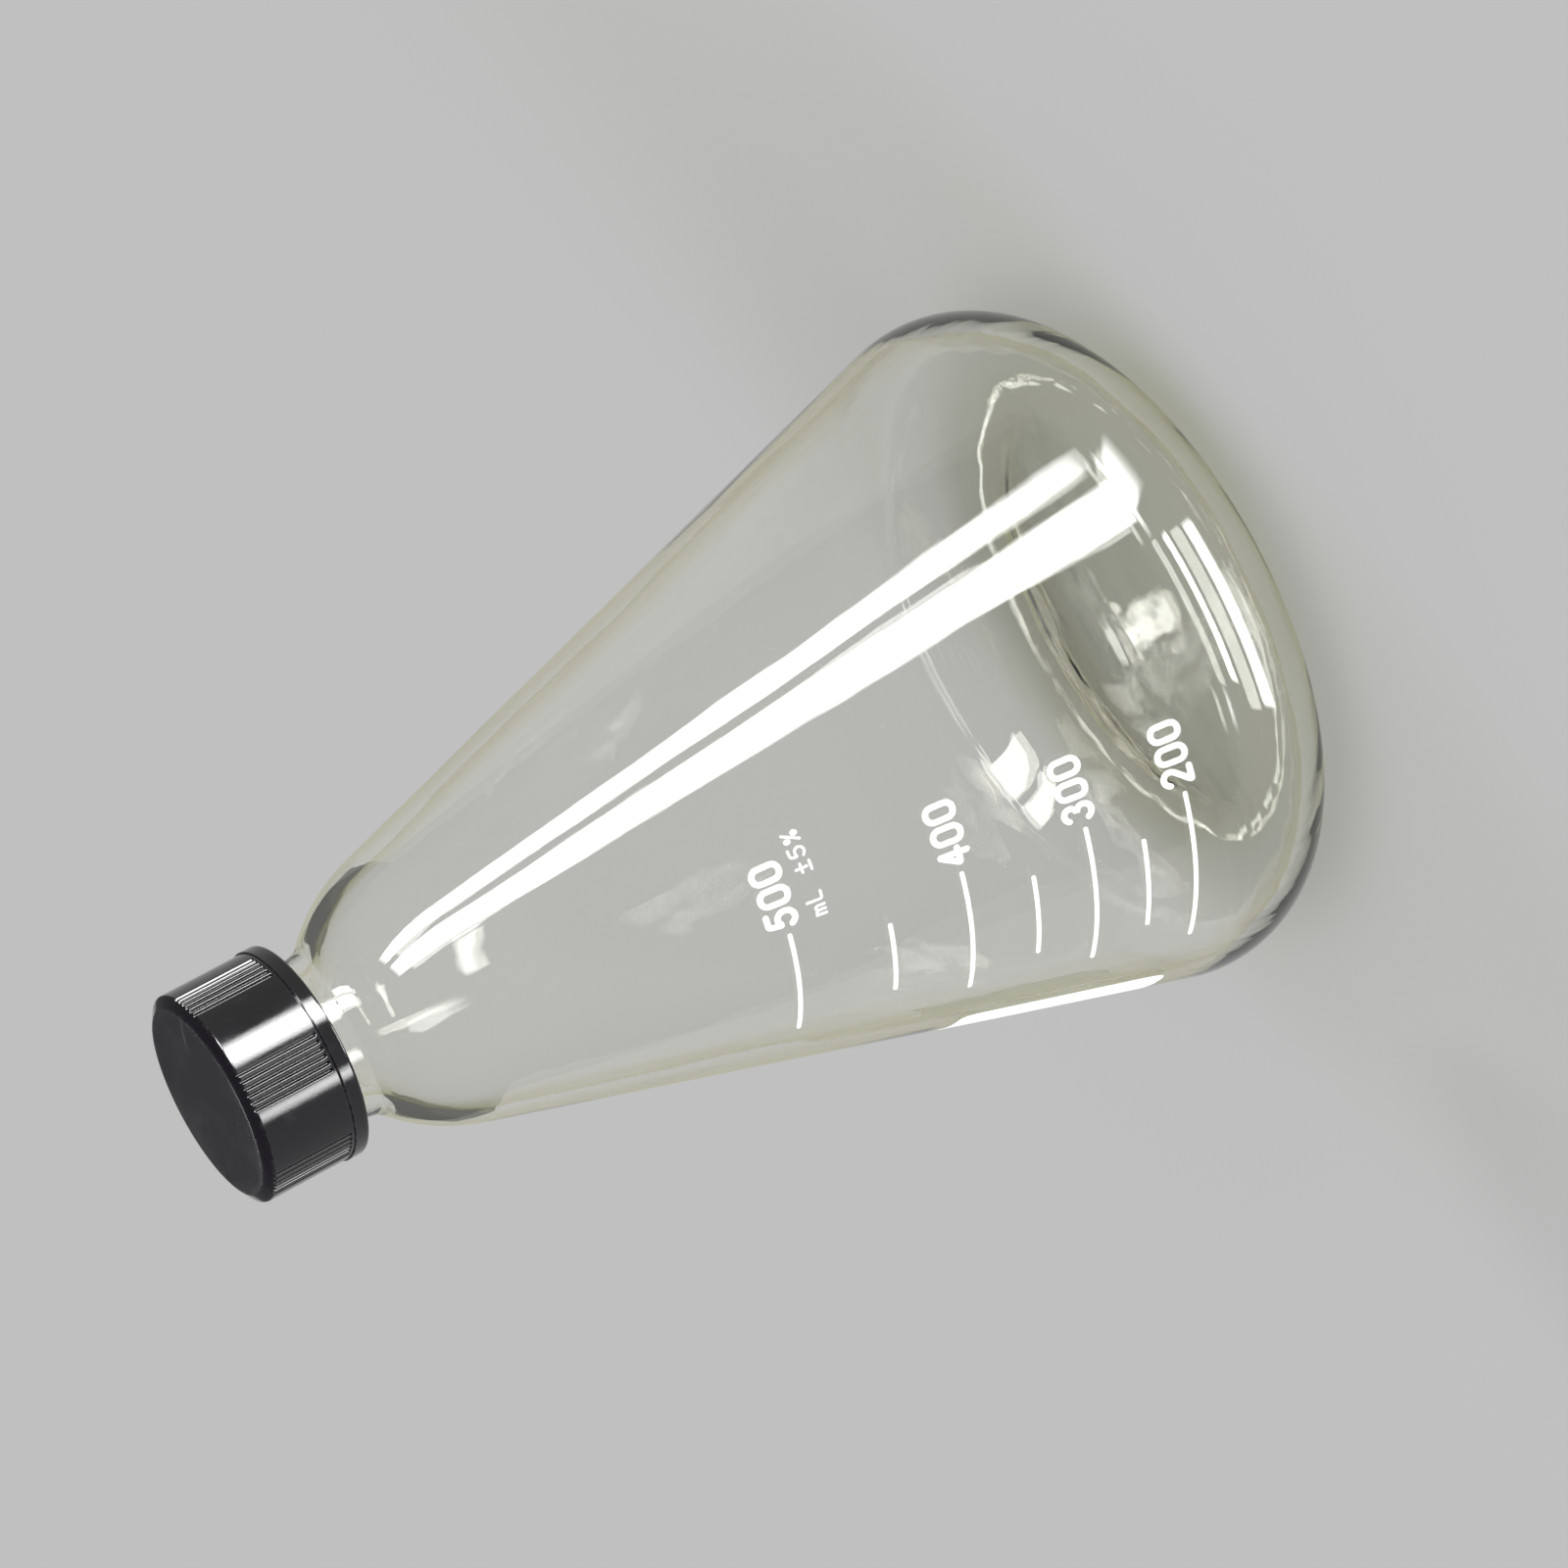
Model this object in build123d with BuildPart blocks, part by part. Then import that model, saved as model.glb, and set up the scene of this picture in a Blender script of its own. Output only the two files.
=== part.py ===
"""Conical laboratory flask of 500 mL with a ribbed screw cap and its liner.

The flask stands on its base ring.  Its axis is +Z, the origin is the centre of
the base at the height of that ring, and the graduated side faces -Y.
Lengths are in millimetres and angles in degrees.
"""
import os
from math import asin, atan2, cos, degrees, hypot, radians, sin, sqrt, tan

from build123d import *

# ---------------------------------------------------------------- flask body
body_od = 107.5            # widest diameter, low on the heel
flask_height = 163.2       # base ring to rim
wall = 1.9                 # side wall
base_thickness = 2.7       # glass over the base ring
heel_radius = 16.8         # outside rounding between base and side
shoulder_radius = 28.6     # outside rounding from the side towards the neck
shoulder_stand_out = 4.2   # how far the side's line passes outside the neck's foot
base_ring_width = 3.0      # flat ring that the flask stands on
push_up = 4.0              # rise of the base inside the ring

# ---------------------------------------------------------------------- neck
neck_od = 25.2             # plain neck, which is also the root of its thread
neck_wall = 2.8
neck_length = 16.6         # straight neck, from its foot to the rim
neck_fillet = 5.2          # hollow rounding at the foot of the neck
rim_rounding = 0.8         # fire-polished edges of the rim
thread_depth = 1.1         # ridge height on the neck, taken up by a plain gap

# ----------------------------------------------------------------------- cap
cap_wall = 2.4             # panel wall outside the bore
cap_height = 16.6
crown_thickness = 1.8
thread_clearance = 0.25    # radial gap between the cap's bore and the neck's thread
crown_bevel_radial = 1.7   # bevel round the top, measured across the crown
crown_bevel_axial = 1.1    # and down the side
band_height = 2.4          # plain band at the open end
band_proud = 0.25          # how far the band stands out from the panels
band_break = 0.5           # chamfer on the band's outer edge
bore_lead_in = 0.6         # chamfer at the mouth of the bore

# ---------------------------------------------------------------------- ribs
rib_groups = 6             # ribbed grips round the cap, with plain panels between
ribs_per_group = 5
rib_spacing = 1.12         # centre to centre along the panel's surface
rib_crest = 0.2            # flat left on top of each rib
groove_depth = 0.42
groove_flank = 45.0        # slope of a groove's sides and of its two ends
groove_over_bevel = 0.5    # how far the grooves run past the bevel's lower edge
groove_band_gap = 0.35     # plain strip between the grooves and the band
rib_phase = -17.0          # direction of the first group, from -Y towards +X

# --------------------------------------------------------------------- liner
liner_thickness = 1.2
liner_clearance = 0.2      # radial gap in the cap's bore
liner_edge = 0.15          # chamfer on the liner's edges

# ------------------------------------------------------------- derived sizes
body_r = body_od / 2
neck_r = neck_od / 2
bore_r = neck_r - neck_wall
neck_foot_z = flask_height - neck_length
cap_bore_r = neck_r + thread_depth + thread_clearance
cap_r = cap_bore_r + cap_wall
band_r = cap_r + band_proud
liner_r = cap_bore_r - liner_clearance
crown_underside_z = flask_height + liner_thickness
cap_top_z = crown_underside_z + crown_thickness
cap_bottom_z = cap_top_z - cap_height

os.makedirs("parts", exist_ok=True)


def cone_slope(heel_centre, heel_r, neck_point):
    """Slope of the side: the line through neck_point that touches the heel's circle."""
    across = heel_centre[0] - neck_point[0]
    up = neck_point[1] - heel_centre[1]
    return atan2(across, up) + asin(heel_r / hypot(across, up))


def side_points(heel_centre, heel_r, neck_radius, fillet, slope, shoulder_r):
    """Points where heel, side, shoulder, neck fillet and neck meet, all tangent.

    Each is (radius, height).  The shoulder is an arc that touches the side and
    the fillet, and the fillet is an arc that touches the neck.
    """
    normal = (cos(slope), sin(slope))
    upward = (-sin(slope), cos(slope))
    heel_end = (heel_centre[0] + heel_r * normal[0], heel_centre[1] + heel_r * normal[1])
    fillet_centre = (neck_radius + fillet, neck_foot_z)
    start = (heel_end[0] - shoulder_r * normal[0], heel_end[1] - shoulder_r * normal[1])
    to_fillet = (fillet_centre[0] - start[0], fillet_centre[1] - start[1])
    off_line = to_fillet[0] * normal[0] + to_fillet[1] * normal[1]
    along = to_fillet[0] * upward[0] + to_fillet[1] * upward[1]
    along -= sqrt((shoulder_r + fillet) ** 2 - off_line**2)
    centre = (start[0] + along * upward[0], start[1] + along * upward[1])
    shoulder_start = (heel_end[0] + along * upward[0], heel_end[1] + along * upward[1])
    share = shoulder_r / (shoulder_r + fillet)
    shoulder_end = (
        centre[0] + share * (fillet_centre[0] - centre[0]),
        centre[1] + share * (fillet_centre[1] - centre[1]),
    )
    return heel_end, shoulder_start, shoulder_end, (neck_radius, neck_foot_z)


# The outside and the inside of the glass are the same outline, one wall apart.
outer_heel_centre = (body_r - heel_radius, heel_radius)
slope = cone_slope(outer_heel_centre, heel_radius, (neck_r + shoulder_stand_out, neck_foot_z))
outer = side_points(
    outer_heel_centre, heel_radius, neck_r, neck_fillet, slope, shoulder_radius
)

inner_heel_radius = heel_radius - wall
lift = base_thickness - wall
inner_heel_centre = (
    outer_heel_centre[0] - lift * sin(slope) / cos(slope),
    base_thickness + inner_heel_radius,
)
inner = side_points(
    inner_heel_centre,
    inner_heel_radius,
    bore_r,
    neck_fillet + neck_wall,
    slope,
    shoulder_radius - wall,
)
ring_inner_r = outer_heel_centre[0] - base_ring_width


# ------------------------------------------------------------------- flask
with BuildPart() as flask:
    with BuildSketch(Plane.XZ):
        with BuildLine():
            Line(outer[3], (neck_r, flask_height))
            Line((neck_r, flask_height), (bore_r, flask_height))
            Line((bore_r, flask_height), inner[3])
            inner_fillet = TangentArc(inner[3], inner[2], tangent=(0, -1))
            inner_shoulder = TangentArc(inner[2], inner[1], tangent=inner_fillet % 1)
            Line(inner[1], inner[0])
            TangentArc(
                inner[0], (inner_heel_centre[0], base_thickness), tangent=(sin(slope), -cos(slope))
            )
            Line((inner_heel_centre[0], base_thickness), (ring_inner_r, base_thickness))
            TangentArc(
                (0, base_thickness + push_up), (ring_inner_r, base_thickness), tangent=(1, 0)
            )
            Line((0, base_thickness + push_up), (0, push_up))
            TangentArc((0, push_up), (ring_inner_r, 0), tangent=(1, 0))
            Line((ring_inner_r, 0), (outer_heel_centre[0], 0))
            TangentArc((outer_heel_centre[0], 0), outer[0], tangent=(1, 0))
            Line(outer[0], outer[1])
            outer_shoulder = TangentArc(outer[1], outer[2], tangent=(-sin(slope), cos(slope)))
            TangentArc(outer[2], outer[3], tangent=outer_shoulder % 1)
        make_face()
    revolve(axis=Axis.Z)
    fillet(flask.edges().group_by(Axis.Z)[-1], radius=rim_rounding)
flask.part.label = "flask"
export_step(flask.part, "parts/flask.step")


# ---------------------------------------------------------------- screw cap
panel_top_z = cap_top_z - crown_bevel_axial
band_top_z = cap_bottom_z + band_height
groove_top_z = panel_top_z + groove_over_bevel
groove_bottom_z = band_top_z + groove_band_gap
groove_width = rib_spacing - rib_crest
rib_step = degrees(rib_spacing / cap_r)

# A groove is cut by a bar with a roof-shaped inner side: its flanks and its two
# ends slope inwards from the panel.  It starts a little outside the panel.
cutter_stand_off = 0.2
cutter_spread = 2 * cutter_stand_off * tan(radians(groove_flank))
cutter_plane = Plane(
    origin=(cap_r + cutter_stand_off, 0, (groove_top_z + groove_bottom_z) / 2),
    x_dir=(0, 1, 0),
    z_dir=(-1, 0, 0),
)
with BuildPart() as groove_cutter:
    with BuildSketch(cutter_plane):
        Rectangle(groove_width + cutter_spread, groove_top_z - groove_bottom_z + cutter_spread)
    extrude(amount=groove_depth + cutter_stand_off, taper=groove_flank)

with BuildPart() as screw_cap:
    with BuildSketch(Plane.XZ):
        with BuildLine():
            Polyline(
                (0, cap_top_z),
                (cap_r - crown_bevel_radial, cap_top_z),
                (cap_r, panel_top_z),
                (cap_r, band_top_z),
                (band_r, band_top_z),
                (band_r, cap_bottom_z + band_break),
                (band_r - band_break, cap_bottom_z),
                (cap_bore_r + bore_lead_in, cap_bottom_z),
                (cap_bore_r, cap_bottom_z + bore_lead_in),
                (cap_bore_r, crown_underside_z),
                (0, crown_underside_z),
                close=True,
            )
        make_face()
    revolve(axis=Axis.Z)
    for groove in range(ribs_per_group + 1):
        swing = (groove - ribs_per_group / 2) * rib_step
        with PolarLocations(0, rib_groups, start_angle=rib_phase - 90 + swing):
            add(groove_cutter.part, mode=Mode.SUBTRACT)
screw_cap.part.label = "screw_cap"
export_step(screw_cap.part, "parts/screw_cap.step")


# -------------------------------------------------------------------- liner
with BuildPart() as cap_liner:
    with BuildSketch(Plane.XY.offset(flask_height)):
        Circle(liner_r)
    extrude(amount=liner_thickness)
    chamfer(cap_liner.edges().filter_by(GeomType.CIRCLE), length=liner_edge)
cap_liner.part.label = "cap_liner"
export_step(cap_liner.part, "parts/cap_liner.step")
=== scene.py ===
"""Conical laboratory flask with a ribbed screw cap, standing in a plain studio.

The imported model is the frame.  The glass body with its screw thread, the cap
with its ribs and inner thread, and the fired white print are surfaces of two
parameters, worked out as whole arrays.  Lengths are in metres, angles in
degrees unless a name says otherwise.  A direction round the flask is its turn
from -Y, the graduated side, towards +X.
"""

from math import asin, atan2, cos, hypot, pi, radians, sin, sqrt, tan

import bpy
import numpy as np
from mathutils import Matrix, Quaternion, Vector


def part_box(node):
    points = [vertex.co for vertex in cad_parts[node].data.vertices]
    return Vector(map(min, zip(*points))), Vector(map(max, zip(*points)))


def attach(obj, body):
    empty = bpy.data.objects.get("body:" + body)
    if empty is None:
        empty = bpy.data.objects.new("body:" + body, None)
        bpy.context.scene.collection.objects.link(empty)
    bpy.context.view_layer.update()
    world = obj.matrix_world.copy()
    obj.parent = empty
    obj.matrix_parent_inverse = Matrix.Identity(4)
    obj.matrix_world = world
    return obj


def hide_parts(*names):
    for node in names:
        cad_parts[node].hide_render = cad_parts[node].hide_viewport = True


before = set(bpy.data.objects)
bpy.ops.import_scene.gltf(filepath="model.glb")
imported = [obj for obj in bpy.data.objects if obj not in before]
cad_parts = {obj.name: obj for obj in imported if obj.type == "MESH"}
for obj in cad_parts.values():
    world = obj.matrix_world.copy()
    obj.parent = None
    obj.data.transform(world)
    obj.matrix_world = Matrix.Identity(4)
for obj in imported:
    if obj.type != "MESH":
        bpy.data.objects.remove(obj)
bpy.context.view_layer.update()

MM = 0.001

# ------------------------------------------------- sizes read from the frame
flask_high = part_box("flask")[1]
cap_low, cap_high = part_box("screw_cap")
liner_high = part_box("cap_liner")[1]
BODY_R = flask_high.x
RIM_Z = flask_high.z
CAP_BOTTOM_Z = cap_low.z
CAP_TOP_Z = cap_high.z
BAND_R = cap_high.x
CROWN_UNDER_Z = liner_high.z

# ----------------------------------------------------------- glass body sizes
AROUND_FLASK = 320  # columns of the glass's mesh
WALL = 1.9 * MM
BASE_THICKNESS = 2.7 * MM
HEEL_R = 16.8 * MM
SHOULDER_R = 28.6 * MM
SHOULDER_STAND_OUT = 4.2 * MM
BASE_RING_WIDTH = 3.0 * MM
PUSH_UP = 4.0 * MM
INNER_BASE_WAVES = 0.17 * MM
OUTER_BASE_WAVES = 0.07 * MM
BASE_WAVE_HEADING = 42.0
BASE_WAVE_SHORTEST = 7 * MM
BASE_WAVE_LONGEST = (34, 34, 24, 16, 14, 12, 10, 10, 9)  # in millimetres, one for each wave
NECK_R = 12.6 * MM
NECK_WALL = 2.8 * MM
NECK_LENGTH = 16.6 * MM
NECK_FILLET = 5.2 * MM
RIM_ROUNDING = 0.8 * MM
BORE_R = NECK_R - NECK_WALL
NECK_FOOT_Z = RIM_Z - NECK_LENGTH

# --------------------------------------------------------------- screw thread
PITCH = 25.4 / 6 * MM
THREAD_DEPTH = 1.1 * MM
THREAD_WIDTH = 2.0 * MM
THREAD_TURNS = 1.35
THREAD_START_DROP = 2.6 * MM  # from the rim down to the upper end of the ridge
THREAD_FADE = 50.0
THREAD_CLEARANCE = 0.25 * MM

# ------------------------------------------------------------------ cap sizes
CAP_BORE_R = NECK_R + THREAD_DEPTH + THREAD_CLEARANCE
CAP_WALL = 2.4 * MM
CAP_R = CAP_BORE_R + CAP_WALL
BEVEL_RADIAL = 1.7 * MM
BEVEL_AXIAL = 1.1 * MM
BAND_HEIGHT = 2.4 * MM
RIB_GROUPS = 6
RIBS_PER_GROUP = 5
RIB_SPACING = 1.12 * MM
GROOVE_WIDTH = 0.80 * MM
GROOVE_DEPTH = 0.42 * MM
RIB_PHASE = -17.0
CROWN_DISH = 0.1 * MM  # how far the middle of the crown lies under its edge

# --------------------------------------------------------------------- print
MARKS = {500: True, 450: False, 400: True, 350: False, 300: True, 250: False, 200: True}
LONG_MARK_HALF = 16.6
SHORT_MARK_HALF = 10.3
MARK_WIDTH = 0.76 * MM
DIGIT_HEIGHT = 5.2 * MM
DIGIT_WIDTH = 3.3 * MM
DIGIT_PITCH = 3.6 * MM
DIGIT_STROKE = 1.02 * MM
DIGIT_GAP = 0.9 * MM
ENAMEL_PROUD = 0.05 * MM
ENAMEL_SUNK = 0.03 * MM
NOTE = "mL ±5%"
NOTE_SIZE = (1.85 * MM, 2.8 * MM)
NOTE_PITCH = 2.25 * MM
NOTE_STROKE = 0.46 * MM
NOTE_DROP = 6.2 * MM  # from the top mark down to the note's foot
PATCH_TURN = -47.0
PATCH_HEIGHT = 45.5 * MM
PATCH_HALF = (11.8 * MM, 16.5 * MM)
PATCH_POWER = 14

# ------------------------------------------------------------------ finishes
GLASS_IOR = 1.474
PLASTIC_IOR = 1.58
ENAMEL_IOR = 1.52
GLASS_ABSORPTION = 18.0  # a metre

# ------------------------------------------------------------ camera and light
CAMERA_TURN = 47.9
CAMERA_RISE = 22.06
CAMERA_ROLL = 118.05
CAMERA_DISTANCE = 933.8 * MM
CAMERA_AIM = (1.4 * MM, 66.1 * MM)  # aside to the camera's right before its roll, and up
CAMERA_LENS = 146.2
SENSOR_WIDTH = 36
FLOOR_Z = -0.02 * MM
FLOOR_COLUMNS = 96
FLOOR_RADII = (0.2, 0.6, 2.0, 12.0)
PANEL_Z = 1.0 * MM  # of the panels that lie on the floor
PANEL_DISTANCE = 1.3
WIDE_TURN = CAMERA_TURN + 30
BACK_TURN = CAMERA_TURN + 181.6
# Each panel: turn and width in degrees, its two ends as (distance, height), the lengths
# over which they fade, the share of the width over which each side fades, its strength,
# and the spacing of its rows.
PANELS = {
    "wide_panel": (
        WIDE_TURN, 16, [(PANEL_DISTANCE, 0.0), (PANEL_DISTANCE, 1.5)], (0.001, 0.2), 0.14, 34, 0.01
    ),
    "narrow_panel": (
        CAMERA_TURN + 47.5, 11, [(PANEL_DISTANCE, 0.03), (PANEL_DISTANCE, 1.5)],
        (0.16, 0.2), 0.16, 34, 0.01
    ),
    "near_panel": (
        WIDE_TURN, 16, [(0.08, PANEL_Z), (0.24, PANEL_Z)], (0.04, 0.001), 0.14, 34, 0.01
    ),
    "cap_panel": (
        WIDE_TURN, 30, [(0.24, PANEL_Z), (0.8, PANEL_Z)], (0.001, 0.1), 0.38, 34, 0.01
    ),
    "low_panel": (
        CAMERA_TURN - 38, 16, [(0.25, PANEL_Z), (0.75, PANEL_Z)], (0.1, 0.1), 0.4, 13, 0.01
    ),
    "heel_panel": (
        41, 40, [(0.102, PANEL_Z), (0.138, PANEL_Z)], (0.005, 0.01), 0.03, 30, 0.002
    ),
    "foot_panel": (
        38, 42, [(0.063, PANEL_Z), (0.073, PANEL_Z)], (0.002, 0.002), 0.03, 26, 0.001
    ),
    "back_panel": (
        BACK_TURN, 4.5, [(3.0, 1.32), (3.0, 2.8)], (0.1, 0.4), 0.3, 5, 0.01
    ),
}
# Each soft lamp: turn, rise and width in degrees, and strength.
LAMPS = {
    "ceiling": (CAMERA_TURN, 86, 70, 2.35),
    "print_side": (-12, 26, 28, 2.9),
    "far_side": (165, 32, 30, 1.9),
}


# =================================================================== meshes
def put_mesh(name, points, quads, triangles=()):
    """A smooth mesh object at the origin from arrays of points and faces."""
    quads = np.asarray(quads, np.int32).reshape(-1, 4)
    triangles = np.asarray(triangles, np.int32).reshape(-1, 3)
    mesh = bpy.data.meshes.new(name)
    mesh.vertices.add(len(points))
    mesh.vertices.foreach_set("co", np.asarray(points, np.float32).ravel())
    corners = np.concatenate([quads.ravel(), triangles.ravel()])
    counts = np.concatenate([np.full(len(quads), 4), np.full(len(triangles), 3)])
    starts = np.concatenate([[0], np.cumsum(counts)[:-1]])
    mesh.loops.add(len(corners))
    mesh.loops.foreach_set("vertex_index", corners.astype(np.int32))
    mesh.polygons.add(len(counts))
    mesh.polygons.foreach_set("loop_start", starts.astype(np.int32))
    mesh.update(calc_edges=True)
    mesh.validate()
    mesh.shade_smooth()
    piece = bpy.data.objects.new(name, mesh)
    bpy.context.scene.collection.objects.link(piece)
    return piece


def grid_quads(rows, columns):
    """Quads between neighbouring rows of a grid whose columns close into rings."""
    row = np.arange(rows - 1)[:, None] * columns
    column = np.arange(columns)[None, :]
    after = (column + 1) % columns
    quads = [row + column, row + after, row + columns + after, row + columns + column]
    return np.stack(quads, -1).reshape(-1, 4)


def ring_faces(rows, columns):
    """Quads between rings, and a fan at each end to the two points after the last ring."""
    column = np.arange(columns)
    after = (column + 1) % columns
    last = (rows - 1) * columns
    start_fan = np.stack([np.full(columns, rows * columns), after, column], -1)
    end_fan = np.stack([np.full(columns, rows * columns + 1), last + column, last + after], -1)
    return grid_quads(rows, columns), np.concatenate([start_fan, end_fan])


def outward(points, quads, triangles):
    """The faces, turned over if the volume they enclose comes out negative.

    The volume is the sum of the determinants of each triangle's corners over six.
    """
    halves = np.concatenate([quads[:, [0, 1, 2]], quads[:, [0, 2, 3]], triangles])
    a, b, c = (points[halves[:, i]] for i in range(3))
    if np.einsum("ij,ij->i", a, np.cross(b, c)).sum() < 0:
        return quads[:, ::-1], triangles[:, ::-1]
    return quads, triangles


def closed_rings(name, rings, start, end):
    """A closed skin through rings[row, column, xyz], ended by the points start and end."""
    points = np.concatenate([rings.reshape(-1, 3), [start, end]])
    return put_mesh(name, points, *outward(points, *ring_faces(*rings.shape[:2])))


def turned(radius, height, turn):
    """Points at that radius and height, at that turn from -Y towards +X."""
    return np.stack([radius * np.sin(turn), -radius * np.cos(turn), height], -1)


def line(start, end, steps):
    """Evenly spaced points from start up to but not including end."""
    share = np.linspace(0, 1, steps, endpoint=False)[:, None]
    return (1 - share) * np.array(start) + share * np.array(end)


def arc(centre, radius, start, end, steps):
    """Points on a circle from angle start up to but not including end, in radians."""
    angle = np.linspace(start, end, steps, endpoint=False)
    return np.stack([centre[0] + radius * np.cos(angle), centre[1] + radius * np.sin(angle)], -1)


# ============================================================ flask's outline
def side_slope():
    """Slope of the side: the line past the neck's foot that touches the heel's circle."""
    across = BODY_R - HEEL_R - NECK_R - SHOULDER_STAND_OUT
    up = NECK_FOOT_Z - HEEL_R
    return atan2(across, up) + asin(HEEL_R / hypot(across, up))


SLOPE = side_slope()


class Side:
    """One face of the wall: heel, side, shoulder, neck fillet and neck, all tangent.

    The shoulder's circle touches the side from within and the fillet's circle
    from outside, so the distance of their centres is the sum of their radii.
    """

    def __init__(self, heel_centre, heel_r, neck_r, fillet_r, shoulder_r):
        normal = np.array([cos(SLOPE), sin(SLOPE)])
        upward = np.array([-sin(SLOPE), cos(SLOPE)])
        self.heel_centre = np.array(heel_centre)
        self.heel_r = heel_r
        self.fillet_r = fillet_r
        self.shoulder_r = shoulder_r
        self.heel_end = self.heel_centre + heel_r * normal
        self.fillet_centre = np.array([neck_r + fillet_r, NECK_FOOT_Z])
        start = self.heel_end - shoulder_r * normal
        to_fillet = self.fillet_centre - start
        reach = shoulder_r + fillet_r
        along = to_fillet @ upward - sqrt(reach**2 - (to_fillet @ normal) ** 2)
        self.shoulder_centre = start + along * upward
        self.shoulder_start = self.heel_end + along * upward
        turn = self.fillet_centre - self.shoulder_centre
        self.meeting = atan2(turn[1], turn[0])

    def upwards(self, side_steps):
        """Points from the foot of the heel to the foot of the neck."""
        return np.concatenate(
            [
                arc(self.heel_centre, self.heel_r, -pi / 2, SLOPE, 26),
                line(self.heel_end, self.shoulder_start, side_steps),
                arc(self.shoulder_centre, self.shoulder_r, SLOPE, self.meeting, 14),
                arc(self.fillet_centre, self.fillet_r, self.meeting + pi, pi, 10),
            ]
        )

    def radius_at(self, height):
        """Radius of the straight side at a height."""
        return self.heel_end[0] - (height - self.heel_end[1]) * tan(SLOPE)


outer_side = Side((BODY_R - HEEL_R, HEEL_R), HEEL_R, NECK_R, NECK_FILLET, SHOULDER_R)
inner_side = Side(
    (
        BODY_R - HEEL_R - (BASE_THICKNESS - WALL) * tan(SLOPE),
        BASE_THICKNESS + HEEL_R - WALL,
    ),
    HEEL_R - WALL,
    BORE_R,
    NECK_FILLET + NECK_WALL,
    SHOULDER_R - WALL,
)
RING_INNER_R = BODY_R - HEEL_R - BASE_RING_WIDTH


def dome(level, steps):
    """The pushed-up base from its crown to the ring: an arc that is level on the axis."""
    radius = (RING_INNER_R**2 + PUSH_UP**2) / (2 * PUSH_UP)
    edge = asin(RING_INNER_R / radius)
    angle = np.linspace(0, edge, steps + 1)[1:]
    height = level + PUSH_UP - radius * (1 - np.cos(angle))
    return np.stack([radius * np.sin(angle), height], -1)


def thread_ridge(turn, height, top, drop=0.0):
    """Height of a right-hand ridge over its root at a turn and a height, from 0 to 1.

    The ridge's middle falls by one pitch each turn back from its upper end.  Its
    section is a flat-topped bell, and it swells and fades over its first and last
    THREAD_FADE degrees.
    """
    ridge = np.zeros(np.broadcast(turn, height).shape)
    total = THREAD_TURNS * 2 * pi
    for lap in range(int(THREAD_TURNS) + 1):
        back = 2 * pi * (lap + 1) - turn % (2 * pi)
        middle = top - drop - PITCH * back / (2 * pi)
        off = np.abs(height - middle) / (THREAD_WIDTH / 2)
        bell = 1 / (1 + np.clip(off, 0, 4) ** 6 * 1.2)
        fade = np.clip(np.minimum(back, total - back) / radians(THREAD_FADE), 0, 1)
        ridge = np.maximum(ridge, bell * np.sin(fade * pi / 2) * (off < 2.2))
    return ridge


def ripple(turn, height, waves, climb, seed):
    """Slow unevenness of a blown wall, from about -2 to 2.

    A sum of waves that close round the wall, each with its own drift along the
    height.  waves is a range of counts round the wall, climb the most radians
    that a wave drifts in a metre.
    """
    draw = np.random.default_rng(seed)
    counts = np.arange(*waves)
    total = 0.0
    for count in counts:
        phase, drift, rise, swell = draw.uniform(-1, 1, 4)
        wave = np.sin(count * turn + pi * phase + height * climb * drift)
        total = total + wave * np.cos(height * climb * rise + pi * swell)
    return total / sqrt(len(counts))


def unevenness(radius, height, turn, slow, fine, seed):
    """How far a blown wall lies inside its true outline: slow swells and fine striae.

    It fades out towards the neck and the base, which are formed in a mould.
    """
    calm = np.clip((radius - NECK_R) / (8 * MM), 0, 1) * np.clip(height / (8 * MM), 0, 1)
    swells = np.clip(ripple(turn, height, (2, 9), 90, seed) - 2, -4, 0)
    striae = np.clip(ripple(turn, height, (30, 64), 25, seed + 1) - 2, -4, 0)
    return calm * (slow * swells + fine * striae)


def base_waves(radius, turn, seed):
    """Unevenness of the base's glass, from -1 to 1.

    A sum of straight waves across it, whose headings lie within 0.55 radians of
    BASE_WAVE_HEADING, as the marks of one stroke of a tool would.
    """
    draw = np.random.default_rng(seed)
    across, along = radius * np.sin(turn), radius * np.cos(turn)
    total = 0.0
    for longest in BASE_WAVE_LONGEST:
        heading = radians(BASE_WAVE_HEADING) + draw.uniform(-0.55, 0.55)
        phase = draw.uniform(0, 2 * pi)
        count = 2 * pi / draw.uniform(BASE_WAVE_SHORTEST, longest * MM)
        total = total + np.sin(count * (across * cos(heading) + along * sin(heading)) + phase)
    return total / len(BASE_WAVE_LONGEST)


def outer_unevenness(radius, height, turn):
    """The outside is the calmer face."""
    return unevenness(radius, height, turn, 0.045 * MM, 0.0015 * MM, 8)


def inner_unevenness(radius, height, turn):
    """The inside is free in the blowing, so it swells and streaks more."""
    return unevenness(radius, height, turn, 0.13 * MM, 0.005 * MM, 3)


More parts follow.
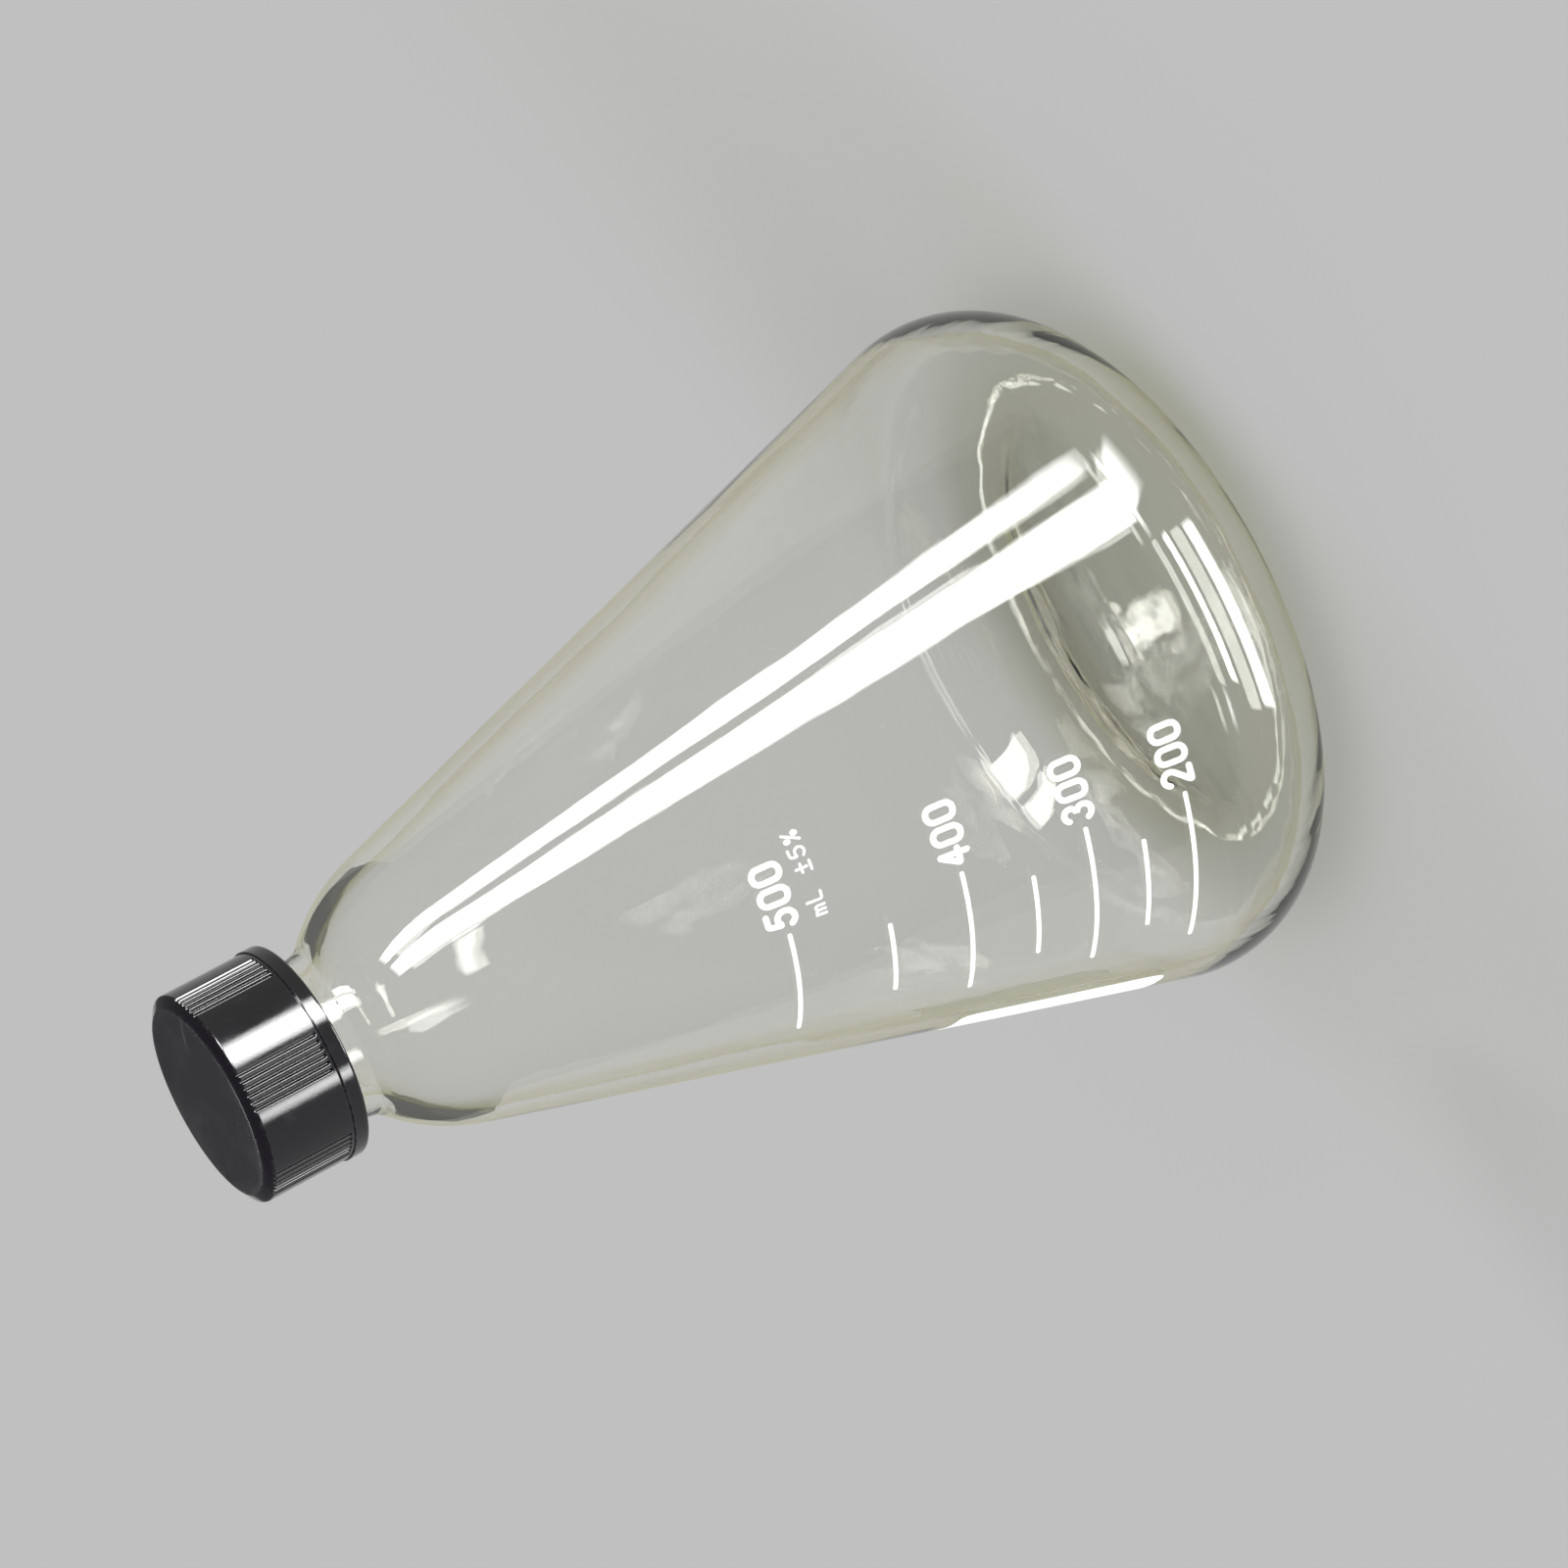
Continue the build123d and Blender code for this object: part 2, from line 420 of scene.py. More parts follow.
def make_flask():
    """The whole glass body as one closed skin: inside down to the base, outside, base.

    The outline runs from the middle of the inner base up the inside, over the
    rim, down the outside with the thread's ridge, and to the middle of the base.
    """
    rim_inner = (BORE_R + RIM_ROUNDING, RIM_Z - RIM_ROUNDING)
    rim_outer = (NECK_R - RIM_ROUNDING, RIM_Z - RIM_ROUNDING)
    inside = np.concatenate(
        [
            dome(BASE_THICKNESS, 26),
            inner_side.upwards(34),
            line((BORE_R, NECK_FOOT_Z), (BORE_R, rim_inner[1]), 8),
            arc(rim_inner, RIM_ROUNDING, pi, pi / 2, 7),
        ]
    )
    outside = np.concatenate(
        [
            dome(0.0, 24),
            outer_side.upwards(34),
            line((NECK_R, NECK_FOOT_Z), (NECK_R, rim_outer[1]), 60),
            arc(rim_outer, RIM_ROUNDING, 0, pi / 2, 7),
            [(NECK_R - RIM_ROUNDING, RIM_Z)],
        ]
    )
    turn = np.linspace(0, 2 * pi, AROUND_FLASK, endpoint=False)[None, :]
    radius, height = inside[:, :1], inside[:, 1:]
    inner_r = radius + inner_unevenness(radius, height, turn)
    on_base = np.clip((HEEL_R - height) / (8 * MM), 0, 1)
    inner_z = height + INNER_BASE_WAVES * base_waves(radius, turn, 5) * on_base
    inner_rings = turned(inner_r, inner_z, turn + 0 * radius)
    radius, height = outside[::-1, :1], outside[::-1, 1:]
    on_neck = (radius > NECK_R - 0.01 * MM) & (height > NECK_FOOT_Z)
    ridge = thread_ridge(turn, height, RIM_Z - THREAD_START_DROP) * on_neck
    outer_r = radius + outer_unevenness(radius, height, turn) + THREAD_DEPTH * ridge
    under_dome = np.clip((RING_INNER_R - radius) / (6 * MM), 0, 1) * (height < PUSH_UP * 1.01)
    outer_z = height + OUTER_BASE_WAVES * base_waves(radius, turn, 6) * under_dome
    outer_rings = turned(outer_r, outer_z, turn + 0 * radius)
    rings = np.concatenate([inner_rings, outer_rings])
    return closed_rings("flask_glass", rings, (0, 0, BASE_THICKNESS + PUSH_UP), (0, 0, PUSH_UP))


# ====================================================================== cap
def groove_centres():
    """Turns, in radians, of all the grooves round the cap."""
    step = RIB_SPACING / CAP_R
    swing = (np.arange(RIBS_PER_GROUP + 1) - RIBS_PER_GROUP / 2) * step
    groups = radians(RIB_PHASE) + 2 * pi / RIB_GROUPS * np.arange(RIB_GROUPS)
    return groups[:, None] + swing[None, :]


def cap_turns():
    """Turns of the cap's columns: close together across the ribs, wide over the panels."""
    step = RIB_SPACING / CAP_R
    ribbed = (RIBS_PER_GROUP / 2 + 1) * step
    over_ribs = np.linspace(-ribbed, ribbed, 84, endpoint=False)
    panel = np.linspace(ribbed, 2 * pi / RIB_GROUPS - ribbed, 14, endpoint=False)
    one = np.concatenate([over_ribs, panel])
    groups = radians(RIB_PHASE) + 2 * pi / RIB_GROUPS * np.arange(RIB_GROUPS)
    return (groups[:, None] + one[None, :]).ravel()


def from_groove(turn):
    """Distance round the cap from each turn to the middle of the nearest groove."""
    away = (turn[..., None] - groove_centres().ravel() + pi) % (2 * pi) - pi
    return np.abs(away).min(-1) * CAP_R


def groove_floor(turn, height, top, bottom):
    """Radius left by the nearest groove: a trough whose section is a squared cosine.

    The trough is deepest on its middle line and dies out half its width away,
    beside it and round its two ends alike.
    """
    beyond = np.maximum(0, np.maximum(height - top, bottom - height))
    share = np.clip(np.hypot(from_groove(turn), beyond) / (GROOVE_WIDTH / 2), 0, 1)
    return CAP_R - GROOVE_DEPTH * np.cos(share * pi / 2) ** 2


def filleted(corners):
    """A line through corners (radius, height, rounding, rows to the next), rounded.

    A rounding is an arc that touches both runs of its corner.
    """
    corners = np.asarray(corners, float)
    at, rounding, rows = corners[:, :2], corners[:, 2], corners[:, 3].astype(int)
    leave, pieces = at[0], []
    for i in range(1, len(at) - 1):
        back = (at[i - 1] - at[i]) / np.linalg.norm(at[i - 1] - at[i])
        on = (at[i + 1] - at[i]) / np.linalg.norm(at[i + 1] - at[i])
        half = np.arccos(np.clip(back @ on, -1, 1)) / 2
        reach = rounding[i] / tan(half) if rounding[i] else 0.0
        pieces.append(line(leave, at[i] + back * reach, rows[i - 1]))
        leave = at[i] + on * reach
        if rounding[i]:
            middle = at[i] + (back + on) / np.linalg.norm(back + on) * rounding[i] / sin(half)
            first, last = at[i] + back * reach - middle, leave - middle
            start = atan2(first[1], first[0])
            sweep = (atan2(last[1], last[0]) - start + pi) % (2 * pi) - pi
            pieces.append(arc(middle, rounding[i], start, start + sweep, 6))
    pieces.append(line(leave, at[-1], rows[-2]))
    return np.concatenate(pieces + [at[-1:]])


def cap_crests(turn, radius, height, side, lying):
    """1 on the four rounded edges, falling away over 0.3 mm, and 0.8 on the ribs' tops.

    side is true on the ribbed side, and lying is each point's radius there.
    """
    edges = (
        (CAP_R - BEVEL_RADIAL, CAP_TOP_Z),
        (CAP_R, CAP_TOP_Z - BEVEL_AXIAL),
        (BAND_R, CAP_BOTTOM_Z + BAND_HEIGHT),
        (BAND_R - 0.15 * MM, CAP_BOTTOM_Z + 0.15 * MM),
    )
    on_edge = [
        np.exp(-(((radius - r) ** 2 + (height - z) ** 2) / (0.3 * MM) ** 2)) for r, z in edges
    ]
    top = side & (lying > CAP_R - 0.2 * GROOVE_DEPTH)
    rib = top & (from_groove(turn) < RIB_SPACING * 0.52)
    return np.maximum(np.maximum.reduce(on_edge), 0.8 * rib)


def make_cap():
    """The cap as one closed skin from the middle of its crown round to its inside.

    The side is the lesser of the plain outline's radius and the grooves' floor.
    The bore carries the thread's ridge, half a pitch below the ridge on the neck.
    The crest attribute marks what hands rub: see cap_crests.
    """
    panel_top = CAP_TOP_Z - BEVEL_AXIAL
    band_top = CAP_BOTTOM_Z + BAND_HEIGHT
    groove_top = panel_top + 0.25 * MM
    groove_bottom = band_top + 0.75 * MM
    outside = filleted(
        [
            (0.5 * MM, CAP_TOP_Z - CROWN_DISH, 0, 12),
            (CAP_R - BEVEL_RADIAL, CAP_TOP_Z, 0.4 * MM, 9),
            (CAP_R, panel_top, 0.3 * MM, 10),
            (CAP_R, groove_top - 0.8 * MM, 0, 10),
            (CAP_R, groove_bottom + 0.1 * MM, 0, 14),
            (CAP_R, band_top, 0.1 * MM, 3),
            (BAND_R, band_top, 0.12 * MM, 6),
            (BAND_R, CAP_BOTTOM_Z, 0.5 * MM, 3),
            (CAP_BORE_R + 0.6 * MM, CAP_BOTTOM_Z, 0, 1),
        ]
    )
    inside = filleted(
        [
            (CAP_BORE_R + 0.6 * MM, CAP_BOTTOM_Z, 0, 3),
            (CAP_BORE_R, CAP_BOTTOM_Z + 0.6 * MM, 0.15 * MM, 40),
            (CAP_BORE_R, CROWN_UNDER_Z, 0.3 * MM, 8),
            (0.5 * MM, CROWN_UNDER_Z, 0, 1),
        ]
    )
    turn = cap_turns()[None, :]
    radius, height = outside[:, :1], outside[:, 1:]
    cut = groove_floor(turn + 0 * radius, height + 0 * turn, groove_top, groove_bottom)
    cut_here = (height > band_top + 0.11 * MM) & (radius > CAP_R - BEVEL_RADIAL)
    outer_r = np.where(cut_here, np.minimum(radius, cut), radius)
    outer_rings = turned(outer_r, height + 0 * turn, turn + 0 * radius)
    radius, height = inside[:, :1], inside[:, 1:]
    in_bore = (radius < CAP_BORE_R + 0.01 * MM) & (height < CROWN_UNDER_Z - 0.5 * MM)
    ridge = thread_ridge(turn, height, RIM_Z - THREAD_START_DROP, drop=PITCH / 2) * in_bore
    inner_r = radius - 0.95 * THREAD_DEPTH * ridge
    inner_rings = turned(inner_r, height + 0 * turn, turn + 0 * radius)
    shell = closed_rings(
        "cap_shell",
        np.concatenate([outer_rings, inner_rings[1:]]),
        (0, 0, CAP_TOP_Z - CROWN_DISH),
        (0, 0, CROWN_UNDER_Z),
    )
    crest = cap_crests(turn, *np.split(outside, 2, axis=1), cut_here, outer_r)
    inner_count = (len(inner_rings) - 1) * turn.shape[1] + 2
    values = np.concatenate([crest.ravel(), np.zeros(inner_count)])
    mark = shell.data.attributes.new("crest", "FLOAT", "POINT")
    mark.data.foreach_set("value", values.astype(np.float32))
    return shell


# ==================================================================== print
def on_glass(across, up, proud, turn, height):
    """Points of a flat drawing laid on the cone: across round it, up along its side."""
    level = height + up * cos(SLOPE)
    radius = outer_side.radius_at(level)
    around = turn + across / outer_side.radius_at(height)
    lying = radius + outer_unevenness(radius, level, around)
    return turned(lying + proud * cos(SLOPE), level + proud * sin(SLOPE), around)


def rounded(path, closed=False, spacing=0.12 * MM, corner=0.35 * MM):
    """An evenly spaced copy of a path of corner points, with its corners eased."""
    path = np.asarray(path, float)
    if closed:
        path = np.concatenate([path, path[:1]])
    lengths = np.hypot(*np.diff(path, axis=0).T)
    total = lengths.sum()
    count = max(int(total / spacing), 4)
    at = np.linspace(0, total, count, endpoint=not closed)
    run = np.concatenate([[0], np.cumsum(lengths)])
    points = np.stack([np.interp(at, run, path[:, i]) for i in (0, 1)], -1)
    for _ in range(int((corner / spacing) ** 2)):
        if closed:
            points = (np.roll(points, 1, 0) + 2 * points + np.roll(points, -1, 0)) / 4
        else:
            points[1:-1] = (points[:-2] + 2 * points[1:-1] + points[2:]) / 4
    return points


def stroke_rings(points, half_width, closed):
    """Rings round a stroke: a flat bead whose ends are half discs.

    Each ring's points are (across, up, share of the height), the section being
    an ellipse from one edge of the stroke over its top to the other and back.
    """
    ahead = np.gradient(points, axis=0)
    if closed:
        ahead = np.roll(points, -1, 0) - np.roll(points, 1, 0)
    ahead = ahead / np.linalg.norm(ahead, axis=1)[:, None]
    widths = np.full(len(points), half_width)
    if not closed:
        end_angle = np.radians([75, 50, 25])[:, None]
        first = points[0] - ahead[0] * half_width * np.sin(end_angle)
        last = points[-1] + ahead[-1] * half_width * np.sin(end_angle[::-1])
        points = np.concatenate([first, points, last])
        shrink = half_width * np.cos(end_angle[:, 0])
        widths = np.concatenate([shrink, widths, shrink[::-1]])
        ahead = np.concatenate([np.repeat(ahead[:1], 3, 0), ahead, np.repeat(ahead[-1:], 3, 0)])
    sideways = np.stack([-ahead[:, 1], ahead[:, 0]], -1)
    angle = np.linspace(0, 2 * pi, 12, endpoint=False)
    offset = np.cos(angle)[None, :, None] * (widths[:, None] * sideways)[:, None, :]
    flat = points[:, None, :] + offset
    lift = np.sign(np.sin(angle)) * np.abs(np.sin(angle)) ** 0.3
    return np.concatenate([flat, np.broadcast_to(lift[None, :, None], flat.shape[:2] + (1,))], -1)


def stroke_part(path, half_width, turn, height, closed=False):
    """Points and faces of one stroke of enamel laid on the glass."""
    points = rounded(path, closed)
    rings = stroke_rings(points, half_width, closed)
    proud = rings[..., 2] * np.where(rings[..., 2] > 0, ENAMEL_PROUD, ENAMEL_SUNK)
    placed = on_glass(rings[..., 0], rings[..., 1], proud, turn, height)
    rows, columns = placed.shape[:2]
    flat = placed.reshape(-1, 3)
    if closed:
        quads = grid_quads(rows + 1, columns) % (rows * columns)
        return flat, quads, np.zeros((0, 3), np.int64)
    tips = np.stack([placed[0].mean(0), placed[-1].mean(0)])
    return np.concatenate([flat, tips]), *ring_faces(rows, columns)


def join_parts(name, parts):
    """One object from several closed parts, each with its faces turned outwards."""
    points, quads, triangles = [], [], []
    first = 0
    for part_points, part_quads, part_triangles in parts:
        centred = part_points - part_points.mean(0)
        part_quads, part_triangles = outward(centred, part_quads, part_triangles)
        points.append(part_points)
        quads.append(part_quads + first)
        triangles.append(part_triangles + first)
        first += len(part_points)
    return put_mesh(name, *(np.concatenate(arrays) for arrays in (points, quads, triangles)))


def bow(centre, radii, start, end, steps=14):
    """Points on an ellipse from one angle to another, in degrees, both included."""
    angle = np.radians(np.linspace(start, end, steps))
    across, up = centre[0] + radii[0] * np.cos(angle), centre[1] + radii[1] * np.sin(angle)
    return np.stack([across, up], -1)


def glyph(sign):
    """The strokes of a sign in a box one wide and one high: (path, closed) pairs."""
    if sign == "0":
        head = bow((0.5, 0.76), (0.5, 0.24), 0, 180)
        foot = bow((0.5, 0.24), (0.5, 0.24), 180, 360)
        return [(np.concatenate([head, foot]), True)]
    if sign == "2":
        head = bow((0.5, 0.74), (0.5, 0.26), 165, -38)
        return [(np.concatenate([head, [(0.0, 0.0), (1.0, 0.0)]]), False)]
    if sign == "3":
        top = bow((0.48, 0.76), (0.46, 0.24), 155, -80)
        foot = bow((0.48, 0.27), (0.52, 0.27), 80, -155)
        return [(np.concatenate([top, [(0.4, 0.53)], foot]), False)]
    if sign == "4":
        return [([(0.74, 0.0), (0.74, 1.0), (0.0, 0.3), (1.05, 0.3)], False)]
    if sign == "5":
        bowl = bow((0.47, 0.32), (0.53, 0.32), 128, -150)
        return [(np.concatenate([[(0.92, 1.0), (0.16, 1.0), (0.06, 0.5)], bowl]), False)]
    if sign == "m":
        stem = [(0.0, 0.0), (0.0, 0.62)]
        arch = np.concatenate([[(0.0, 0.4)], bow((0.25, 0.42), (0.25, 0.2), 160, 0), [(0.5, 0.0)]])
        return [(stem, False), (arch, False), (arch + (0.5, 0.0), False)]
    if sign == "L":
        return [([(0.0, 1.0), (0.0, 0.0), (0.8, 0.0)], False)]
    if sign == "±":
        bars = [[(0.0, 0.6), (0.9, 0.6)], [(0.45, 0.25), (0.45, 0.95)], [(0.0, 0.0), (0.9, 0.0)]]
        return [(bar, False) for bar in bars]
    if sign == "%":
        low = bow((0.8, 0.2), (0.2, 0.2), 0, 360, 24)[:-1]
        high = bow((0.2, 0.8), (0.2, 0.2), 0, 360, 24)[:-1]
        return [(low, True), (high, True), ([(0.05, 0.0), (0.95, 1.0)], False)]
    return []


def write_parts(text, left, foot, size, pitch, stroke, turn, height):
    """Strokes of a line of signs that starts at left of the anchor, with its foot at foot."""
    parts = []
    wide, high = size[0] - stroke, size[1] - stroke
    for place, sign in enumerate(text):
        for path, closed in glyph(sign):
            path = np.asarray(path, float) * (wide, high)
            path = path + (left + place * pitch + stroke / 2, foot + stroke / 2)
            parts.append(stroke_part(path, stroke / 2, turn, height, closed))
    return parts


def mark_heights():
    """Height of each mark: where the volume of the inside below it equals its number.

    The inside's volume is the running sum of ring areas, less the pushed-up dome.
    """
    outline = inner_side.upwards(400)
    radius, height = outline[:, 0], outline[:, 1]
    slices = pi * (radius[1:] ** 2 + radius[:-1] ** 2) / 2 * np.diff(height)
    domed = pi * PUSH_UP / 6 * (3 * RING_INNER_R**2 + PUSH_UP**2)
    volume = np.concatenate([[0], np.cumsum(slices)]) - domed
    return {number: float(np.interp(number * 1e-6, volume, height)) for number in MARKS}


def make_marks():
    """The scale's marks: long ones at the hundreds, short ones between."""
    parts = []
    for number, height in mark_heights().items():
        half = radians(LONG_MARK_HALF if MARKS[number] else SHORT_MARK_HALF)
        reach = half * outer_side.radius_at(height) - MARK_WIDTH / 2
        parts.append(stroke_part([(-reach, 0), (reach, 0)], MARK_WIDTH / 2, 0.0, height))
    return join_parts("scale_marks", parts)


def make_numerals():
    """Numbers to the right of the long marks, and the unit with its tolerance."""
    parts = []
    size = (DIGIT_WIDTH, DIGIT_HEIGHT)
    for number, height in mark_heights().items():
        if MARKS[number]:
            left = radians(LONG_MARK_HALF) * outer_side.radius_at(height) + DIGIT_GAP
            foot = -0.4 * DIGIT_HEIGHT
            parts += write_parts(
                str(number), left, foot, size, DIGIT_PITCH, DIGIT_STROKE, 0.0, height
            )
    height = mark_heights()[500]
    left = radians(LONG_MARK_HALF) * outer_side.radius_at(height) + DIGIT_GAP
    parts += write_parts(
        NOTE, left, -NOTE_DROP, NOTE_SIZE, NOTE_PITCH, NOTE_STROKE, 0.0, height
    )
    return join_parts("scale_numerals", parts)


def make_patch():
    """A plain field to write on: a rounded rectangle of enamel laid on the cone.

    Its outline is a superellipse; rings shrink from it to the middle, and the
    edge of the enamel falls away to the glass.
    """
    turn, height = radians(PATCH_TURN), PATCH_HEIGHT
    angle = np.linspace(0, 2 * pi, 160, endpoint=False)
    even = np.abs(np.cos(angle)) ** PATCH_POWER + np.abs(np.sin(angle)) ** PATCH_POWER
    shape = even ** (-1 / PATCH_POWER)
    shrink = np.concatenate([np.linspace(0.04, 0.96, 24), [0.985, 0.996, 1.0]])
    lift = np.concatenate([np.ones(25), [0.6, 0.0]]) * ENAMEL_PROUD
    sunk = np.concatenate([np.full(26, -1.0), [-0.5]]) * ENAMEL_SUNK
    shrink = np.concatenate([shrink, shrink[::-1]])
    proud = np.concatenate([lift, sunk[::-1]])
    across = PATCH_HALF[0] * shape * np.cos(angle) * shrink[:, None]
    up = PATCH_HALF[1] * shape * np.sin(angle) * shrink[:, None]
    rings = on_glass(across, up, proud[:, None] + 0 * across, turn, height)
    top = on_glass(np.zeros(1), np.zeros(1), ENAMEL_PROUD, turn, height)[0]
    foot = on_glass(np.zeros(1), np.zeros(1), -ENAMEL_SUNK, turn, height)[0]
    points = np.concatenate([rings.reshape(-1, 3), [top, foot]])
    return join_parts("marking_patch", [(points, *ring_faces(*rings.shape[:2]))])


# ================================================================ materials
def new_material(name):
    """A material with nodes, and its tree and shader."""
    made = bpy.data.materials.new(name)
    made.use_nodes = True
    tree = made.node_tree
    return made, tree, tree.nodes["Principled BSDF"]


def link(tree, start, end):
    """A link from an output to an input."""
    tree.links.new(start, end)


def add(tree, kind, **values):
    """A node of that kind, with properties and input values by name."""
    node = tree.nodes.new("ShaderNode" + kind)
    for name, value in values.items():
        if hasattr(node, name):
            setattr(node, name, value)
        else:
            node.inputs[name.replace("_", " ")].default_value = value
    return node


def group_of(name, inputs, outputs):
    """An empty node group with float inputs and outputs, and its two end nodes."""
    tree = bpy.data.node_groups.new(name, "ShaderNodeTree")
    for label, value in inputs.items():
        socket = tree.interface.new_socket(label, in_out="INPUT", socket_type="NodeSocketFloat")
        socket.default_value = value
    for label in outputs:
        tree.interface.new_socket(label, in_out="OUTPUT", socket_type="NodeSocketFloat")
    return tree, tree.nodes.new("NodeGroupInput"), tree.nodes.new("NodeGroupOutput")


def multiply(tree, start, factor):
    """A Math node that multiplies a socket by a number or another socket."""
    node = add(tree, "Math", operation="MULTIPLY")
    link(tree, start, node.inputs[0])
    if isinstance(factor, (int, float)):
        node.inputs[1].default_value = factor
    else:
        link(tree, factor, node.inputs[1])
    return node.outputs["Value"]


def sum_of(tree, first, second):
    """A Math node that adds two sockets, or a number to a socket."""
    node = add(tree, "Math", operation="ADD")
    link(tree, first, node.inputs[0])
    if isinstance(second, (int, float)):
        node.inputs[1].default_value = second
    else:
        link(tree, second, node.inputs[1])
    return node.outputs["Value"]


def spread(tree, start, low, high):
    """A Map Range node that takes low..high to 0..1."""
    node = add(tree, "MapRange")
    node.inputs["From Min"].default_value = low
    node.inputs["From Max"].default_value = high
    link(tree, start, node.inputs["Value"])
    return node.outputs["Result"]


def handling_group():
    """Signs of handling: smudges, fine scratches and grain, each from 0 to 1.

    Smudges are broad soft noise with sharp-edged patches, scratches are long thin
    ridges of stretched noise, and grain is fine noise.
    """
    tree, start, end = group_of(
        "handling", {"Smudge Size": 60.0, "Grain Size": 2500.0}, ("Smudges", "Scratches", "Grain")
    )
    place = add(tree, "TexCoord")
    smudge = add(tree, "TexNoise", Detail=4.0, Roughness=0.6)
    link(tree, place.outputs["Object"], smudge.inputs["Vector"])
    link(tree, start.outputs["Smudge Size"], smudge.inputs["Scale"])
    link(tree, spread(tree, smudge.outputs["Fac"], 0.48, 0.68), end.inputs["Smudges"])
    stretch = add(tree, "Mapping")
    stretch.inputs["Rotation"].default_value = (0.5, 0.3, 0.9)
    stretch.inputs["Scale"].default_value = (60.0, 900.0, 130.0)
    link(tree, place.outputs["Object"], stretch.inputs["Vector"])
    scratch = add(tree, "TexNoise", Scale=1.0, Detail=1.0)
    link(tree, stretch.outputs["Vector"], scratch.inputs["Vector"])
    link(tree, spread(tree, scratch.outputs["Fac"], 0.66, 0.72), end.inputs["Scratches"])
    grain = add(tree, "TexNoise", Detail=2.0)
    link(tree, place.outputs["Object"], grain.inputs["Vector"])
    link(tree, start.outputs["Grain Size"], grain.inputs["Scale"])
    link(tree, grain.outputs["Fac"], end.inputs["Grain"])
    return tree


handling = handling_group()


def put_handling(tree, smudge_size, grain_size):
    """The handling group placed in a material with its own sizes."""
    node = add(tree, "Group")
    node.node_tree = handling
    node.inputs["Smudge Size"].default_value = smudge_size
    node.inputs["Grain Size"].default_value = grain_size
    return node.outputs


def bumped(tree, shader, height, distance):
    """A Bump node under the shader's Normal."""
    bump = add(tree, "Bump", Distance=distance)
    link(tree, height, bump.inputs["Height"])
    link(tree, bump.outputs["Normal"], shader.inputs["Normal"])


def colour_between(tree, factor, first, second):
    """A Mix node from the first colour to the second, whose colour sockets are 6, 7 and 2."""
    mix = add(tree, "Mix", data_type="RGBA")
    mix.inputs[6].default_value = first
    mix.inputs[7].default_value = second
    link(tree, factor, mix.inputs["Factor"])
    return mix.outputs[2]


def clear_glass():
    """Clear borosilicate glass, olive where it is looked at edge on.

    The cast comes from the depth of glass that light crosses, and from an olive
    tint painted into the colour where the faces are seen at a slant: painted light,
    standing in for the yellow light that glass carries along its edges.  Broad
    smudges barely dull it, and drawn striae run up the side.  Rays from the lamps
    pass straight through, so that the floor under the flask is lit as it is under
    real glass.
    """
    made, tree, shader = new_material("clear_glass")
    shader.inputs["IOR"].default_value = GLASS_IOR
    shader.inputs["Transmission Weight"].default_value = 1.0
    # Painted light: an olive tint painted into the base colour where the faces are seen edge on,
    # standing in for the yellow light that glass carries along its edges; the real cast of the
    # glass's depth is the volume absorption below.
    slant = add(tree, "LayerWeight", Blend=0.5)
    edge = spread(tree, slant.outputs["Facing"], 0.63, 0.93)
    painted_edge_tint = colour_between(tree, edge, (1.0, 1.0, 1.0, 1.0), (0.62, 0.56, 0.06, 1.0))
    link(tree, painted_edge_tint, shader.inputs["Base Color"])
    marks = put_handling(tree, 45.0, 900.0)
    link(tree, multiply(tree, marks["Smudges"], 0.035), shader.inputs["Roughness"])
    place = add(tree, "TexCoord")
    drawn = add(tree, "Mapping")
    drawn.inputs["Scale"].default_value = (130.0, 130.0, 11.0)
    link(tree, place.outputs["Object"], drawn.inputs["Vector"])
    striae = add(tree, "TexNoise", Scale=1.0, Detail=2.0)
    link(tree, drawn.outputs["Vector"], striae.inputs["Vector"])
    bumped(tree, shader, striae.outputs["Fac"], 0.06 * MM)
    through = add(tree, "BsdfTransparent")
    through.inputs["Color"].default_value = (0.965, 0.967, 0.955, 1.0)
    path = add(tree, "LightPath")
    either = add(tree, "MixShader")
    link(tree, path.outputs["Is Shadow Ray"], either.inputs["Fac"])
    link(tree, shader.outputs["BSDF"], either.inputs[1])
    link(tree, through.outputs["BSDF"], either.inputs[2])
    output = tree.nodes["Material Output"]
    link(tree, either.outputs["Shader"], output.inputs["Surface"])
    cast = add(tree, "VolumeAbsorption")
    cast.inputs["Color"].default_value = (0.86, 0.88, 0.25, 1.0)
    cast.inputs["Density"].default_value = GLASS_ABSORPTION
    link(tree, cast.outputs["Volume"], output.inputs["Volume"])
    return made


def moulded_black():
    """Glossy black moulded plastic with a trace of purple, scuffed on its crests.

    The crest attribute is 0.8 on the ribs' tops and 1 on the rounded edges.
    """
    made, tree, shader = new_material("moulded_black")
    shader.inputs["IOR"].default_value = PLASTIC_IOR
    marks = put_handling(tree, 130.0, 1800.0)
    crest = add(tree, "Attribute", attribute_name="crest")
    worn = multiply(tree, crest.outputs["Fac"], spread(tree, marks["Grain"], 0.42, 0.62))
    scuffed = sum_of(tree, multiply(tree, worn, 0.5), multiply(tree, marks["Scratches"], 0.35))
    fresh, rubbed = (0.0045, 0.0035, 0.0055, 1.0), (0.035, 0.033, 0.038, 1.0)
    colour = colour_between(tree, scuffed, fresh, rubbed)
    link(tree, colour, shader.inputs["Base Color"])
    dull = sum_of(tree, multiply(tree, marks["Smudges"], 0.05), multiply(tree, scuffed, 0.16))
    link(tree, sum_of(tree, dull, 0.085), shader.inputs["Roughness"])
    bumped(tree, shader, marks["Grain"], 0.004 * MM)
    return made


